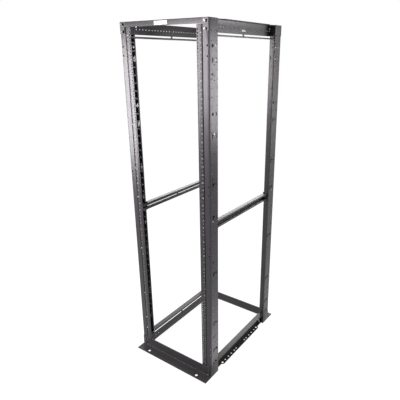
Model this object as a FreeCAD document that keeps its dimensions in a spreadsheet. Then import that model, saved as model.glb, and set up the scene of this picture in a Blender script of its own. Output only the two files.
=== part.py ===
import FreeCAD, Part
import os
import Sketcher

# Four post open frame rack for 19 inch equipment, all sizes in millimetres.
# Frame: origin on the floor under the middle of the rack, +X to the right as
# seen from the front, +Y to the rear, +Z up.

doc = FreeCAD.newDocument("OpenFrameRack")
sizes = doc.addObject("Spreadsheet::Sheet", "Sizes")
sizes.Label = "Sizes"

SIZE_ROWS = (
    ("rack_height", 2134, "floor to top of the posts"),
    ("rack_width", 600, "outside to outside of the post webs"),
    ("frame_depth", 760, "front lip face to rear lip face"),
    ("post_depth", 76, "width of a post web"),
    ("post_sheet", 2.5, "sheet of posts and mounting rails"),
    ("lip_width", 33, "outer lip of a post"),
    ("flange_width", 33, "inner flange of a post"),
    ("post_bend", 2, "inside bend radius of posts and rails"),
    ("rail_line", 41, "post web to the outer face of a mounting rail"),
    ("rail_face", 33.575, "face of a mounting rail, leaves the EIA-310 opening of 450.85"),
    ("rail_depth", 30, "side wall of a mounting rail"),
    ("rail_hole_edge", 7.135, "rail edge to its hole column, gives the EIA-310 spacing of 465.12"),
    ("rail_end_gap", 33, "post end to mounting rail end"),
    ("unit_pitch", 44.45, "one rack unit"),
    ("unit_base", 88, "floor to the underside of unit one"),
    ("unit_top_room", 40, "least room above the last unit"),
    ("unit_hole_low", 6.35, "underside of a unit to its lowest hole"),
    ("unit_hole_step", 31.75, "lowest to highest hole of a unit"),
    ("unit_hole_bore", 5.5, "bore of an equipment hole"),
    ("beam_height", 82, "top and bottom side beams"),
    ("beam_sheet", 3, "sheet of beams and bars"),
    ("beam_flange", 36, "outward flanges of the side beams"),
    ("beam_outer_flange_length", 494, "flange on the outermost edge"),
    ("beam_flange_corner", 14, "chamfer of that flange's corners"),
    ("slot_height", 10, "long slots of the side beams"),
    ("slot_edge", 8, "strip left beside a beam slot"),
    ("slot_tie", 6, "tie between the two long slots"),
    ("slot_inset", 12.5, "beam or bar end to the far end of its slots"),
    ("mid_height", 38, "middle side bars"),
    ("mid_drop", 20, "centre of the middle bars below half the height"),
    ("mid_flange", 22, "outward flanges of the middle bars"),
    ("mid_tab_height", 52, "bolting tab of a middle bar"),
    ("mid_slot_height", 9, "long slots of the middle bars"),
    ("bar_height", 27, "front and rear top bars between the ears"),
    ("ear_height", 61, "bolting ears of the top bars"),
    ("ear_width", 34, "bolting ears of the top bars"),
    ("bar_shelf", 35, "top flange of the top bars"),
    ("base_sheet", 4, "steel of the base angles"),
    ("base_wall", 70, "upright leg of the base angles"),
    ("base_reach", 67.5, "floor leg, from the post lip face"),
    ("base_bend", 3, "inside bend radius of the base angles"),
    ("anchor_inset", 92.5, "post web to anchor hole"),
    ("anchor_offset", 44, "post lip face to anchor hole"),
    ("anchor_bore", 16, "bore of a floor anchor hole"),
    ("web_hole_bore", 13, "accessory holes in the post webs"),
    ("web_column_outer", 28.5, "lip face to the outer hole column"),
    ("web_column_inner", 60, "lip face to the inner hole column"),
    ("web_holes_upper", 126, "post top to the upper accessory holes"),
    ("web_holes_lower", 456, "post top to the lower accessory holes"),
    ("web_slot_drop", 192.5, "post top to the upright slots"),
    ("web_slot_width", 11, "upright slots in the post webs"),
    ("web_slot_height", 22, "upright slots in the post webs"),
    ("flange_slot_inset", 23, "post web to the slots of the inner flange"),
    ("flange_slot_upper", 189, "post top to the upper flange slot"),
    ("flange_slot_lower", 556, "post top to the lower flange slot"),
    ("flange_slot_width", 10, "slots of the inner flange"),
    ("flange_slot_height", 32, "slots of the inner flange"),
    ("hook_width", 42, "lanced hook cut across its legs"),
    ("hook_height", 22, "lanced hook cut from bar to leg ends"),
    ("hook_cut", 7, "width of the lanced cut"),
    ("hook_centre", 44, "lip face to the middle of a hook"),
    ("hook_drop_high", 557, "post top to the highest hook"),
    ("hook_drop_middle", 827, "post top to the second hook"),
    ("hook_drop_low", 1018, "post top to the third hook"),
    ("hook_level_high", 754, "floor to the fourth hook"),
    ("hook_level_middle", 406, "floor to the fifth hook"),
    ("hook_level_low", 205, "floor to the lowest hook"),
    ("fit_gap", 0.3, "clearance between neighbouring pieces"),
)
for row, (alias, value, note) in enumerate(SIZE_ROWS, start=1):
    sizes.set("A%d" % row, alias)
    sizes.set("B%d" % row, str(value))
    sizes.setAlias("B%d" % row, alias)
    sizes.set("C%d" % row, note)
doc.recompute()

OVERCUT = 1.0
FRONT, REAR = -1, 1
LEFT, RIGHT = -1, 1
Vector = FreeCAD.Vector


def size(formula):
    """Number behind a formula of the sheet."""
    return float(sizes.evalExpression(formula))


def times(sign, formula):
    """The formula, turned round when the sign is negative."""
    return "%d * (%s)" % (sign, formula)


def new_body(label, x="0", y="0", z="0"):
    """Body of one sub-part, placed by formulas of the sheet."""
    body = doc.addObject("PartDesign::Body", label)
    body.Label = label
    body.setExpression("Placement.Base.x", "(%s) * 1 mm" % x)
    body.setExpression("Placement.Base.y", "(%s) * 1 mm" % y)
    body.setExpression("Placement.Base.z", "(%s) * 1 mm" % z)
    return body


def origin_plane(body, role):
    """One of the three planes of the body's own origin."""
    return next(item for item in body.Origin.OriginFeatures if item.Role == role)


def new_sketch(body, name, role, offset="0"):
    """Sketch on an origin plane, moved along the plane's normal."""
    sketch = body.newObject("Sketcher::SketchObject", name)
    sketch.AttachmentSupport = [(origin_plane(body, role), "")]
    sketch.MapMode = "FlatFace"
    sketch.setExpression("AttachmentOffset.Base.z", "(%s) * 1 mm" % offset)
    return sketch


def hold(sketch, kind, target, formula):
    """Dimension that follows a formula of the sheet."""
    if kind in ("DistanceX", "DistanceY"):
        constraint = Sketcher.Constraint(kind, -1, 1, target[0], target[1], size(formula))
    else:
        constraint = Sketcher.Constraint(kind, target[0], size(formula))
    index = sketch.addConstraint(constraint)
    name = "held_%d" % index
    sketch.renameConstraint(index, name)
    sketch.setExpression("Constraints." + name, formula)


def hold_point(sketch, geometry, position, across, along):
    """Point held at (across, along) from the sketch origin."""
    hold(sketch, "DistanceX", (geometry, position), across)
    hold(sketch, "DistanceY", (geometry, position), along)


def outline(sketch, corners):
    """Closed outline through corners given as pairs of formulas."""
    points = [Vector(size(across), size(along), 0) for across, along in corners]
    first = sketch.GeometryCount
    for here, there in zip(points, points[1:] + points[:1]):
        sketch.addGeometry(Part.LineSegment(here, there), False)
    for step in range(len(corners)):
        follower = first + (step + 1) % len(corners)
        sketch.addConstraint(Sketcher.Constraint("Coincident", first + step, 2, follower, 1))
    for step, (across, along) in enumerate(corners):
        hold_point(sketch, first + step, 1, across, along)


def rectangle(sketch, across_a, across_b, along_a, along_b):
    """Rectangle between two formulas each way."""
    low = ((across_a, along_a), (across_b, along_a))
    high = ((across_b, along_b), (across_a, along_b))
    outline(sketch, low + high)


def round_hole(sketch, across, along, bore):
    """Full circle held by its centre and bore."""
    centre = Vector(size(across), size(along), 0)
    circle = Part.Circle(centre, Vector(0, 0, 1), size(bore) / 2)
    index = sketch.addGeometry(circle, False)
    hold_point(sketch, index, 3, across, along)
    hold(sketch, "Diameter", (index,), bore)


def long_hole(sketch, start, finish, width):
    """Round ended slot between two end centres on one row or column."""
    begin = Vector(size(start[0]), size(start[1]), 0)
    end = Vector(size(finish[0]), size(finish[1]), 0)
    radius = size(width) / 2
    run = (end - begin).normalize()
    side = Vector(-run.y, run.x, 0) * radius
    first = sketch.GeometryCount
    sketch.addGeometry(Part.Arc(begin + side, begin - run * radius, begin - side), False)
    sketch.addGeometry(Part.LineSegment(begin - side, end - side), False)
    sketch.addGeometry(Part.Arc(end - side, end + run * radius, end + side), False)
    sketch.addGeometry(Part.LineSegment(end + side, begin + side), False)
    near_cap, far_cap = first, first + 2
    lower, upper = first + 1, first + 3
    sketch.addConstraint(Sketcher.Constraint("Tangent", near_cap, 2, lower, 1))
    sketch.addConstraint(Sketcher.Constraint("Tangent", lower, 2, far_cap, 1))
    sketch.addConstraint(Sketcher.Constraint("Tangent", far_cap, 2, upper, 1))
    sketch.addConstraint(Sketcher.Constraint("Tangent", upper, 2, near_cap, 1))
    hold_point(sketch, near_cap, 3, start[0], start[1])
    hold_point(sketch, far_cap, 3, finish[0], finish[1])
    hold(sketch, "Radius", (near_cap,), "(%s) / 2" % width)
    hold(sketch, "Radius", (far_cap,), "(%s) / 2" % width)


def pad(body, sketch, name, length, backward=False, centred=False):
    """Sketch drawn out to a formula's length."""
    feature = body.newObject("PartDesign::Pad", name)
    feature.Profile = sketch
    feature.setExpression("Length", "(%s) * 1 mm" % length)
    feature.Reversed = backward
    feature.Midplane = centred
    doc.recompute()
    return feature


def pocket(body, sketch, name, sheet):
    """Cut through a sheet whose face or middle lies on the sketch."""
    feature = body.newObject("PartDesign::Pocket", name)
    feature.Profile = sketch
    feature.setExpression("Length", "2 * (%s + %g) * 1 mm" % (sheet, OVERCUT))
    feature.Midplane = True
    doc.recompute()
    return feature


def mirrored(body, feature, name, role):
    """The feature again on the far side of an origin plane."""
    copy = body.newObject("PartDesign::Mirrored", name)
    copy.Originals = [feature]
    copy.MirrorPlane = (origin_plane(body, role), [""])
    body.Tip = copy
    doc.recompute()
    return copy


def bend(body, base, name, radius, wanted):
    """Round the straight edges that pass the wanted test."""
    edges = []
    for number, edge in enumerate(base.Shape.Edges, start=1):
        if len(edge.Vertexes) == 2 and wanted(edge.Vertexes[0].Point, edge.Vertexes[1].Point):
            edges.append("Edge%d" % number)
    fillet = body.newObject("PartDesign::Fillet", name)
    fillet.Base = (base, edges)
    fillet.setExpression("Radius", "(%s) * 1 mm" % radius)
    body.Tip = fillet
    doc.recompute()
    return fillet


def upright_at(places):
    """Test for upright edges over any of the (x, y) places."""
    def wanted(start, finish):
        if abs(start.z - finish.z) < 1 or (start - finish).Length > abs(start.z - finish.z) + 0.01:
            return False
        return any(abs(start.x - x) < 0.01 and abs(start.y - y) < 0.01 for x, y in places)
    return wanted


def lengthwise_at(axis, places):
    """Test for edges along x (0) or y (1) over any of the other two coordinates."""
    def wanted(start, finish):
        run = [abs(a - b) for a, b in zip(start, finish)]
        if run[axis] < 1 or sum(run) > run[axis] + 0.01:
            return False
        rest = [value for index, value in enumerate(start) if index != axis]
        return any(abs(rest[0] - u) < 0.01 and abs(rest[1] - v) < 0.01 for u, v in places)
    return wanted


HALF_WIDTH = "Sizes.rack_width / 2"
HALF_DEPTH = "Sizes.frame_depth / 2"
RAIL_EDGE = "Sizes.rail_line + Sizes.rail_face"
HOLE_COLUMN = "Sizes.rail_line + Sizes.rail_face - Sizes.rail_hole_edge"
BEAM_LINE = "Sizes.rail_line - Sizes.beam_sheet"
BEAM_END = "Sizes.frame_depth / 2 - Sizes.post_sheet"
SLOT_END = "Sizes.frame_depth / 2 - Sizes.post_sheet - Sizes.slot_inset"
BAY_HALF = "Sizes.frame_depth / 2 - Sizes.post_depth - Sizes.fit_gap"
HOOK_TOPS = (
    "Sizes.rack_height - Sizes.hook_drop_high",
    "Sizes.rack_height - Sizes.hook_drop_middle",
    "Sizes.rack_height - Sizes.hook_drop_low",
    "Sizes.hook_level_high",
    "Sizes.hook_level_middle",
    "Sizes.hook_level_low",
)


def build_post(label, side, end):
    """Channel post: web outside, lip at the end face, flange to the bay."""
    body = new_body(label, times(side, HALF_WIDTH), times(end, HALF_DEPTH))

    def inward(formula):
        return times(-side, formula)

    def bayward(formula):
        return times(-end, formula)

    profile = new_sketch(body, label + "_profile", "XY_Plane")
    deep = "Sizes.post_depth"
    sheet = "Sizes.post_sheet"
    outline(profile, (
        (inward("Sizes.lip_width"), "0"),
        ("0", "0"),
        ("0", bayward(deep)),
        (inward("Sizes.flange_width"), bayward(deep)),
        (inward("Sizes.flange_width"), bayward(deep + " - " + sheet)),
        (inward(sheet), bayward(deep + " - " + sheet)),
        (inward(sheet), bayward(sheet)),
        (inward("Sizes.lip_width"), bayward(sheet)),
    ))
    channel = pad(body, profile, label + "_channel", "Sizes.rack_height")
    thick, depth = size(sheet), size(deep)
    outer = upright_at(((0, 0), (0, -end * depth)))
    rounded = bend(body, channel, label + "_outer_bends", "Sizes.post_bend + Sizes.post_sheet", outer)
    inner = upright_at(((-side * thick, -end * thick), (-side * thick, -end * (depth - thick))))
    bend(body, rounded, label + "_inner_bends", "Sizes.post_bend", inner)

    slots = new_sketch(body, label + "_flange_layout", "XZ_Plane", times(end, deep))
    across = inward("Sizes.flange_slot_inset")
    half = "(Sizes.flange_slot_height - Sizes.flange_slot_width) / 2"
    for drop in ("Sizes.flange_slot_upper", "Sizes.flange_slot_lower"):
        low_end = (across, "Sizes.rack_height - %s - %s" % (drop, half))
        high_end = (across, "Sizes.rack_height - %s + %s" % (drop, half))
        long_hole(slots, low_end, high_end, "Sizes.flange_slot_width")
    pocket(body, slots, label + "_flange_slots", sheet)

    cuts = new_sketch(body, label + "_web_layout", "YZ_Plane")
    columns = (bayward("Sizes.web_column_outer"), bayward("Sizes.web_column_inner"))
    middle = "Sizes.rack_height - Sizes.web_slot_drop"
    reach = "(Sizes.web_slot_height - Sizes.web_slot_width) / 2"
    for column in columns:
        round_hole(cuts, column, "Sizes.rack_height - Sizes.web_holes_upper", "Sizes.web_hole_bore")
        round_hole(cuts, column, "Sizes.rack_height - Sizes.web_holes_lower", "Sizes.web_hole_bore")
        low_end = (column, middle + " - " + reach)
        high_end = (column, middle + " + " + reach)
        long_hole(cuts, low_end, high_end, "Sizes.web_slot_width")
    for top in HOOK_TOPS:
        hook(cuts, bayward, top)
    pocket(body, cuts, label + "_web_cuts", sheet)
    return body


def hook(sketch, bayward, top):
    """Lanced hook: a cut like an upside down U that frees a tongue."""
    half = "Sizes.hook_width / 2"
    leg = half + " - Sizes.hook_cut"
    foot = top + " - Sizes.hook_height"
    under = top + " - Sizes.hook_cut"
    middle = "Sizes.hook_centre"
    outline(sketch, (
        (bayward(middle + " - " + half), foot),
        (bayward(middle + " - " + half), top),
        (bayward(middle + " + " + half), top),
        (bayward(middle + " + " + half), foot),
        (bayward(middle + " + " + leg), foot),
        (bayward(middle + " + " + leg), under),
        (bayward(middle + " - (" + leg + ")"), under),
        (bayward(middle + " - (" + leg + ")"), foot),
    ))


def build_rail(label, side, end, drilled):
    """Mounting rail: angle with its equipment face level with the lips."""
    body = new_body(label, times(side, HALF_WIDTH), times(end, HALF_DEPTH))

    def inward(formula):
        return times(-side, formula)

    def bayward(formula):
        return times(-end, formula)

    profile = new_sketch(body, label + "_profile", "XY_Plane", "Sizes.rail_end_gap")
    back = "Sizes.rail_line"
    sheet = "Sizes.post_sheet"
    outline(profile, (
        (inward(back), "0"),
        (inward(RAIL_EDGE), "0"),
        (inward(RAIL_EDGE), bayward(sheet)),
        (inward(back + " + " + sheet), bayward(sheet)),
        (inward(back + " + " + sheet), bayward("Sizes.rail_depth")),
        (inward(back), bayward("Sizes.rail_depth")),
    ))
    angle = pad(body, profile, label + "_angle", "Sizes.rack_height - 2 * Sizes.rail_end_gap")
    thick, behind = size(sheet), size(back)
    outer = upright_at(((-side * behind, 0),))
    rounded = bend(body, angle, label + "_outer_bend", "Sizes.post_bend + Sizes.post_sheet", outer)
    inner = upright_at(((-side * (behind + thick), -end * thick),))
    bend(body, rounded, label + "_inner_bend", "Sizes.post_bend", inner)

    for unit in drilled:
        layout = new_sketch(body, "%s_unit_%d_layout" % (label, unit), "XZ_Plane")
        lowest = "Sizes.unit_base + %d * Sizes.unit_pitch + Sizes.unit_hole_low" % (unit - 1)
        for level in (lowest, lowest + " + Sizes.unit_hole_step"):
            round_hole(layout, inward(HOLE_COLUMN), level, "Sizes.unit_hole_bore")
        pocket(body, layout, "%s_unit_%d_holes" % (label, unit), sheet)
    return body


def build_side_beam(label, side, up):
    """Side beam: channel open to the outside, long slots by its inner edge."""
    height = "0" if up > 0 else "Sizes.rack_height"
    body = new_body(label, times(side, HALF_WIDTH), "0", height)

    def inward(formula):
        return times(-side, formula)

    def rise(formula):
        return times(up, formula)

    sheet = "Sizes.beam_sheet"
    back = BEAM_LINE
    tall = "Sizes.beam_height"
    web = new_sketch(body, label + "_web_outline", "YZ_Plane", inward(back))
    rectangle(web, "-(%s)" % BEAM_END, BEAM_END, "0", rise(tall))
    pad(body, web, label + "_web", sheet, backward=side > 0)

    inner = new_sketch(body, label + "_inner_flange_outline", "XY_Plane", rise(tall))
    free_edge = inward(BEAM_LINE + " - Sizes.beam_flange")
    joined = inward(back + " + " + sheet)
    rectangle(inner, free_edge, joined, "-(%s)" % BAY_HALF, BAY_HALF)
    pad(body, inner, label + "_inner_flange", sheet, backward=up > 0)

    outer = new_sketch(body, label + "_outer_flange_outline", "XY_Plane")
    length = "Sizes.beam_outer_flange_length / 2"
    corner = "Sizes.beam_flange_corner"
    notched = inward(BEAM_LINE + " - Sizes.beam_flange + Sizes.beam_flange_corner")
    outline(outer, (
        (joined, "-(%s)" % BAY_HALF),
        (joined, BAY_HALF),
        (notched, BAY_HALF),
        (notched, length),
        (free_edge, length + " - " + corner),
        (free_edge, "-(%s - %s)" % (length, corner)),
        (notched, "-(%s)" % length),
        (notched, "-(%s)" % BAY_HALF),
    ))
    pad(body, outer, label + "_outer_flange", sheet, backward=up < 0)

    tab = new_sketch(body, label + "_tab_outline", "XZ_Plane", BEAM_END)
    rectangle(tab, inward("Sizes.post_sheet + Sizes.post_bend + Sizes.fit_gap"), joined, "0", rise(tall))
    front_tab = pad(body, tab, label + "_front_tab", sheet, backward=True)
    mirrored(body, front_tab, label + "_rear_tab", "XZ_Plane")

    slot = new_sketch(body, label + "_slot_outline", "YZ_Plane", inward(back))
    level = rise(tall + " - Sizes.slot_edge - Sizes.slot_height / 2")
    near = "-(Sizes.slot_tie + Sizes.slot_height) / 2"
    far = "Sizes.slot_height / 2 - (%s)" % SLOT_END
    long_hole(slot, (far, level), (near, level), "Sizes.slot_height")
    front_slot = pocket(body, slot, label + "_front_slot", sheet)
    mirrored(body, front_slot, label + "_rear_slot", "XZ_Plane")
    return body


def build_mid_bar(label, side):
    """Middle bar: small channel that runs past the posts to the rails."""
    body = new_body(label, times(side, HALF_WIDTH), "0", "Sizes.rack_height / 2 - Sizes.mid_drop")

    def inward(formula):
        return times(-side, formula)

    sheet = "Sizes.beam_sheet"
    half = "Sizes.mid_height / 2"
    joined = inward(BEAM_LINE + " + " + sheet)
    web = new_sketch(body, label + "_web_outline", "YZ_Plane", inward(BEAM_LINE))
    rectangle(web, "-(%s)" % BEAM_END, BEAM_END, "-(%s)" % half, half)
    pad(body, web, label + "_web", sheet, backward=side > 0)

    free_edge = inward(BEAM_LINE + " - Sizes.mid_flange")
    flange = new_sketch(body, label + "_flange_outline", "XY_Plane", half)
    rectangle(flange, free_edge, joined, "-(%s)" % BAY_HALF, BAY_HALF)
    top_flange = pad(body, flange, label + "_top_flange", sheet, backward=True)
    mirrored(body, top_flange, label + "_bottom_flange", "XY_Plane")

    tab = new_sketch(body, label + "_tab_outline", "XZ_Plane", BAY_HALF)
    tall = "Sizes.mid_tab_height / 2"
    rectangle(tab, inward("Sizes.post_sheet + Sizes.fit_gap"), joined, "-(%s)" % tall, tall)
    front_tab = pad(body, tab, label + "_front_tab", sheet, backward=True)
    mirrored(body, front_tab, label + "_rear_tab", "XZ_Plane")

    slot = new_sketch(body, label + "_slot_outline", "YZ_Plane", inward(BEAM_LINE))
    near = "-(Sizes.slot_tie + Sizes.mid_slot_height) / 2"
    far = "Sizes.mid_slot_height / 2 - (%s)" % SLOT_END
    long_hole(slot, (far, "0"), (near, "0"), "Sizes.mid_slot_height")
    front_slot = pocket(body, slot, label + "_front_slot", sheet)
    mirrored(body, front_slot, label + "_rear_slot", "XZ_Plane")
    return body


def build_top_bar(label, end):
    """Top bar across the rack: plate with two bolting ears and a top shelf."""
    body = new_body(label, "0", times(end, HALF_DEPTH), "Sizes.rack_height")
    sheet = "Sizes.beam_sheet"
    ear = "Sizes.rack_width / 2 - Sizes.ear_width"
    plate = new_sketch(body, label + "_plate_outline", "XZ_Plane")
    outline(plate, (
        ("-(%s)" % HALF_WIDTH, "0"),
        (HALF_WIDTH, "0"),
        (HALF_WIDTH, "-Sizes.ear_height"),
        (ear, "-Sizes.ear_height"),
        (ear, "-Sizes.bar_height"),
        ("-(%s)" % ear, "-Sizes.bar_height"),
        ("-(%s)" % ear, "-Sizes.ear_height"),
        ("-(%s)" % HALF_WIDTH, "-Sizes.ear_height"),
    ))
    pad(body, plate, label + "_plate", sheet, backward=end > 0)

    shelf = new_sketch(body, label + "_shelf_outline", "XY_Plane")
    half = "Sizes.rack_width / 2 - Sizes.rail_line - Sizes.fit_gap"
    front_face = times(end, sheet)
    rear_edge = times(-end, "Sizes.bar_shelf")
    rectangle(shelf, "-(%s)" % half, half, front_face, rear_edge)
    pad(body, shelf, label + "_shelf", sheet, backward=True)
    return body


def build_base_angle(label, end):
    """Base angle: upright leg on the lips, floor leg out to the anchors."""
    body = new_body(label, "0", times(end, HALF_DEPTH))

    def outward(formula):
        return times(end, formula)

    sheet = "Sizes.base_sheet"
    profile = new_sketch(body, label + "_profile", "YZ_Plane")
    outline(profile, (
        ("0", "0"),
        (outward("Sizes.base_reach"), "0"),
        (outward("Sizes.base_reach"), sheet),
        (outward(sheet), sheet),
        (outward(sheet), "Sizes.base_wall"),
        ("0", "Sizes.base_wall"),
    ))
    angle = pad(body, profile, label + "_angle", "Sizes.rack_width", centred=True)
    thick = size(sheet)
    outer = lengthwise_at(0, ((0, 0),))
    rounded = bend(body, angle, label + "_outer_bend", "Sizes.base_bend + Sizes.base_sheet", outer)
    inner = lengthwise_at(0, ((end * thick, thick),))
    bend(body, rounded, label + "_inner_bend", "Sizes.base_bend", inner)

    anchors = new_sketch(body, label + "_anchor_layout", "XY_Plane")
    for side in (LEFT, RIGHT):
        across = times(side, "Sizes.rack_width / 2 - Sizes.anchor_inset")
        round_hole(anchors, across, outward("Sizes.anchor_offset"), "Sizes.anchor_bore")
    pocket(body, anchors, label + "_anchor_holes", sheet)
    return body


parts = []
last_unit = int(size("(Sizes.rack_height - Sizes.unit_base - Sizes.unit_top_room) / Sizes.unit_pitch"))
CORNERS = (
    ("front_right", RIGHT, FRONT),
    ("front_left", LEFT, FRONT),
    ("rear_right", RIGHT, REAR),
    ("rear_left", LEFT, REAR),
)
for corner_name, corner_side, corner_end in CORNERS:
    parts.append(build_post("post_" + corner_name, corner_side, corner_end))
    drilled_units = (1, last_unit) if corner_end == FRONT else (1,)
    parts.append(build_rail("mounting_rail_" + corner_name, corner_side, corner_end, drilled_units))
for side_name, side_sign in (("right", RIGHT), ("left", LEFT)):
    parts.append(build_side_beam("top_beam_" + side_name, side_sign, -1))
    parts.append(build_mid_bar("mid_bar_" + side_name, side_sign))
    parts.append(build_side_beam("bottom_beam_" + side_name, side_sign, 1))
for end_name, end_sign in (("front", FRONT), ("rear", REAR)):
    parts.append(build_top_bar("top_bar_" + end_name, end_sign))
    parts.append(build_base_angle("base_angle_" + end_name, end_sign))

doc.recompute()
for item in doc.Objects:
    if "Invalid" in item.State or "Error" in item.State:
        raise RuntimeError("object failed: " + item.Label)
os.makedirs("parts", exist_ok=True)
for body in parts:
    shape = body.Shape
    if shape.isNull() or not shape.isValid() or len(shape.Solids) != 1:
        raise RuntimeError("bad shape: " + body.Label)
    shape.exportStep("parts/%s.step" % body.Label)
    box = shape.BoundBox
    print("%-28s volume %9.0f  x %7.1f %7.1f  y %7.1f %7.1f  z %7.1f %7.1f" % (
        body.Label, shape.Volume, box.XMin, box.XMax, box.YMin, box.YMax, box.ZMin, box.ZMax))
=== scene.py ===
# %% [markdown]
# # A four post open frame rack, dressed for its picture
# The rack is folded sheet steel: channel posts, angle rails, slotted side beams, top bars and two
# floor angles, all in black powder coat. The CAD model gives every size. This script makes the same
# sheets again with their punched holes, bends and bolts, and then gives them their finish.

import bmesh
import bpy
import math
from contextlib import contextmanager
from mathutils import Matrix, Vector


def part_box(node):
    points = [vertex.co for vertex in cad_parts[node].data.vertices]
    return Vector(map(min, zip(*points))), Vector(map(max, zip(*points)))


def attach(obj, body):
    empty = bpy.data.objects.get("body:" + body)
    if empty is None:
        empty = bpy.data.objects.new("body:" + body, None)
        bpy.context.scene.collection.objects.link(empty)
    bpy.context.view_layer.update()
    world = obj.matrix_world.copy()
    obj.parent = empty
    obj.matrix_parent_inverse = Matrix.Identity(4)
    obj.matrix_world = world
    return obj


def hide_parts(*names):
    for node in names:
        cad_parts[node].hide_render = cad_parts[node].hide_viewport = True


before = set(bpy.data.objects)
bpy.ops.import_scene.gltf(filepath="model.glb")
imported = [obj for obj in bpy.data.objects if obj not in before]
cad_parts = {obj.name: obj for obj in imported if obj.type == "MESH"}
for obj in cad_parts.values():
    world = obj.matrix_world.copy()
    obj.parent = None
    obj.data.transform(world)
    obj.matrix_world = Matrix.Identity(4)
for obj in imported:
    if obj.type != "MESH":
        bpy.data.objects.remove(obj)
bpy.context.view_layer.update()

# %% [markdown]
# ## Sizes
# Big sizes are read from the CAD nodes, so the dressed sheets always sit where the solids are.
# Sizes that the solids don't carry, such as small punched holes, are named here in metres.

# %% Read the driving sizes
MM = 0.001
post_low, post_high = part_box("post_front_right")
rail_low, rail_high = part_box("mounting_rail_front_right")
beam_low, beam_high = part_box("top_beam_right")
mid_low, mid_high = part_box("mid_bar_right")
bar_low, bar_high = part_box("top_bar_front")
base_low, base_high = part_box("base_angle_front")

rack_height = post_high[2]
half_width = post_high[0]
half_depth = -post_low[1]
post_depth = post_high[1] - post_low[1]
arm_width = post_high[0] - post_low[0]
SHEET = 2.5 * MM
BEAM_SHEET = 3 * MM
BEND = 2.6 * MM
EDGE_ROUND = 0.35 * MM
UNIT = 44.45 * MM
HOLE_SIDES = 12
print("rack", [round(value, 3) for value in (rack_height, half_width, half_depth)])

# %% [markdown]
# ## Punching
# A punch press turns a flat blank into a perforated one before anything is bent. Boolean cuts would
# be slow and would leave poor meshes for hundreds of holes. Here a Geometry Nodes tree does the
# work of the press: it puts one circle on every hole point, scales it by the point's own width and
# height, and Fill Curve covers the blank but leaves each inner curve open.

# %% A tree that fills a blank around its holes
def feed(tree, node, inputs):
    """Gives each named input of a node a value, or a link where a socket is given."""
    for name, value in inputs.items():
        if isinstance(value, bpy.types.NodeSocket):
            tree.links.new(value, node.inputs[name])
        else:
            node.inputs[name].default_value = value
    return node


def new_node(tree, kind, inputs=None, **settings):
    """Node of a kind with its settings and its inputs."""
    node = tree.nodes.new(kind)
    for name, value in settings.items():
        setattr(node, name, value)
    return feed(tree, node, inputs or {})


def math_node(tree, operation, first, second):
    """Math node fed by a socket or a number on each side."""
    return new_node(tree, "ShaderNodeMath", {0: first, 1: second}, operation=operation).outputs[0]


def stored_value(tree, name, kind="FLOAT"):
    """Value kept on the points."""
    node = new_node(tree, "GeometryNodeInputNamedAttribute", {"Name": name}, data_type=kind)
    return node.outputs["Attribute"]


def new_tree(name, source, numbers, result):
    """Geometry Nodes tree with a geometry, named numbers and a material in, and a geometry out."""
    tree = bpy.data.node_groups.new(name, "GeometryNodeTree")
    add_socket = tree.interface.new_socket
    add_socket(source, in_out="INPUT", socket_type="NodeSocketGeometry")
    for title, value in numbers.items():
        kind = "NodeSocketInt" if isinstance(value, int) else "NodeSocketFloat"
        add_socket(title, in_out="INPUT", socket_type=kind).default_value = value
    add_socket("Finish", in_out="INPUT", socket_type="NodeSocketMaterial")
    add_socket(result, in_out="OUTPUT", socket_type="NodeSocketGeometry")
    return tree, tree.nodes.new("NodeGroupInput")


def end_tree(tree, given, geometry):
    """Last nodes of a tree: the geometry gets the given material and is put out."""
    finish = new_node(tree, "GeometryNodeSetMaterial",
                      {"Geometry": geometry, "Material": given.outputs["Finish"]})
    new_node(tree, "NodeGroupOutput", {0: finish.outputs["Geometry"]})
    return tree


def end_with_instances(tree, given, inputs):
    """Last nodes of a tree that sets one instance on each of the given points."""
    place = new_node(tree, "GeometryNodeInstanceOnPoints",
                     {"Points": given.outputs["Points"], **inputs})
    real = new_node(tree, "GeometryNodeRealizeInstances", {"Geometry": place.outputs["Instances"]})
    return end_tree(tree, given, real.outputs["Geometry"])


def join_node(tree, parts):
    """Several geometries as one."""
    join = new_node(tree, "GeometryNodeJoinGeometry")
    for part in parts:
        feed(tree, join, {"Geometry": part})
    return join.outputs["Geometry"]


def build_punch_tree():
    """Outlines and hole points in, punched flat sheet out."""
    tree, given = new_tree("punched_blank", "Blank", {"Hole sides": HOLE_SIDES}, "Sheet")
    across, along = stored_value(tree, "hole_across"), stored_value(tree, "hole_along")
    is_hole = new_node(tree, "FunctionNodeCompare", {"A": across}, operation="GREATER_THAN")
    split = new_node(tree, "GeometryNodeSeparateGeometry",
                     {"Geometry": given.outputs["Blank"], "Selection": is_hole.outputs["Result"]})
    outlines = new_node(tree, "GeometryNodeMeshToCurve", {"Mesh": split.outputs["Inverted"]})
    circle = new_node(tree, "GeometryNodeCurvePrimitiveCircle",
                      {"Radius": 0.5, "Resolution": given.outputs["Hole sides"]})
    span = new_node(tree, "ShaderNodeCombineXYZ", {"X": across, "Y": along, "Z": 1.0})
    holes = new_node(tree, "GeometryNodeInstanceOnPoints",
                     {"Points": split.outputs["Selection"], "Instance": circle.outputs["Curve"],
                      "Scale": span.outputs["Vector"]})
    both = join_node(tree, (outlines.outputs["Curve"], holes.outputs["Instances"]))
    real = new_node(tree, "GeometryNodeRealizeInstances", {"Geometry": both})
    fill = new_node(tree, "GeometryNodeFillCurve", {"Curve": real.outputs["Geometry"]})
    return end_tree(tree, given, fill.outputs["Mesh"])


punch_tree = build_punch_tree()
print("punch tree", len(punch_tree.nodes), "nodes")

# %% [markdown]
# ## Blanks
# A blank is a small mesh of closed outlines and loose points. Round and oval holes are points that
# carry their width and height. Slots with round ends and lanced hooks are outlines of their own.

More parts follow.
